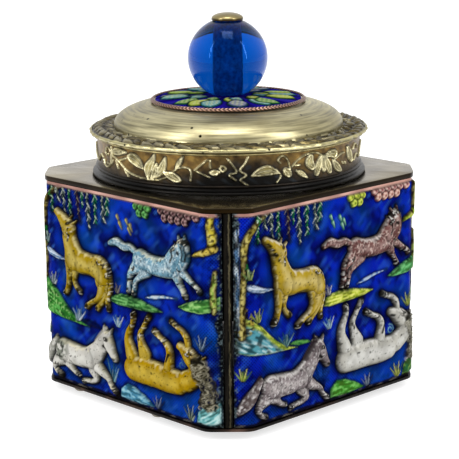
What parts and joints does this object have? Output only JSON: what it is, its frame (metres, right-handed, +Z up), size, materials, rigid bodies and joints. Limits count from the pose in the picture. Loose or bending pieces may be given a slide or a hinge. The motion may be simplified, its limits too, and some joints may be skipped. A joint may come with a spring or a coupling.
{
  "type": "enamel tea caddy",
  "caption": "Square enamelled metal tea caddy with cut corners, horse reliefs, a round collar and a lift-off domed lid with a glass bead knob.",
  "frame": {"origin": "on the ground under the middle of the caddy, at the feet's undersides", "axes": "+Z up through the knob; the front panel faces -Y and the right panel faces +X"},
  "size_m": [0.0786, 0.0786, 0.0995],
  "materials": {
    "enamel": "cobalt enamel over pressed copper, glossy, with coloured horses and plants in relief",
    "medallion_enamel": "violet blue enamel with green and lime leaves, glossy",
    "brass": "worn brushed brass with dark patina in the hollows",
    "dark_brass": "blackened, patinated brass",
    "copper": "pinkish worn copper",
    "glass": "clear blue glass, polished"
  },
  "bodies": {
    "root": {"panel_front": "enamel", "panel_right": "enamel", "panel_back": "enamel", "panel_left": "enamel", "corner_strip_front_right": "dark_brass", "corner_strip_back_right": "dark_brass", "corner_strip_back_left": "dark_brass", "corner_strip_front_left": "dark_brass", "base": "dark_brass", "foot_front_left": "dark_brass", "foot_front_right": "dark_brass", "foot_back_left": "dark_brass", "foot_back_right": "dark_brass", "shoulder": "brass", "collar": "brass", "lid": "brass", "medallion": "medallion_enamel", "rope_ring": "copper", "glass_bead": "glass", "knob_pin": "brass"}
  },
  "joints": []
}
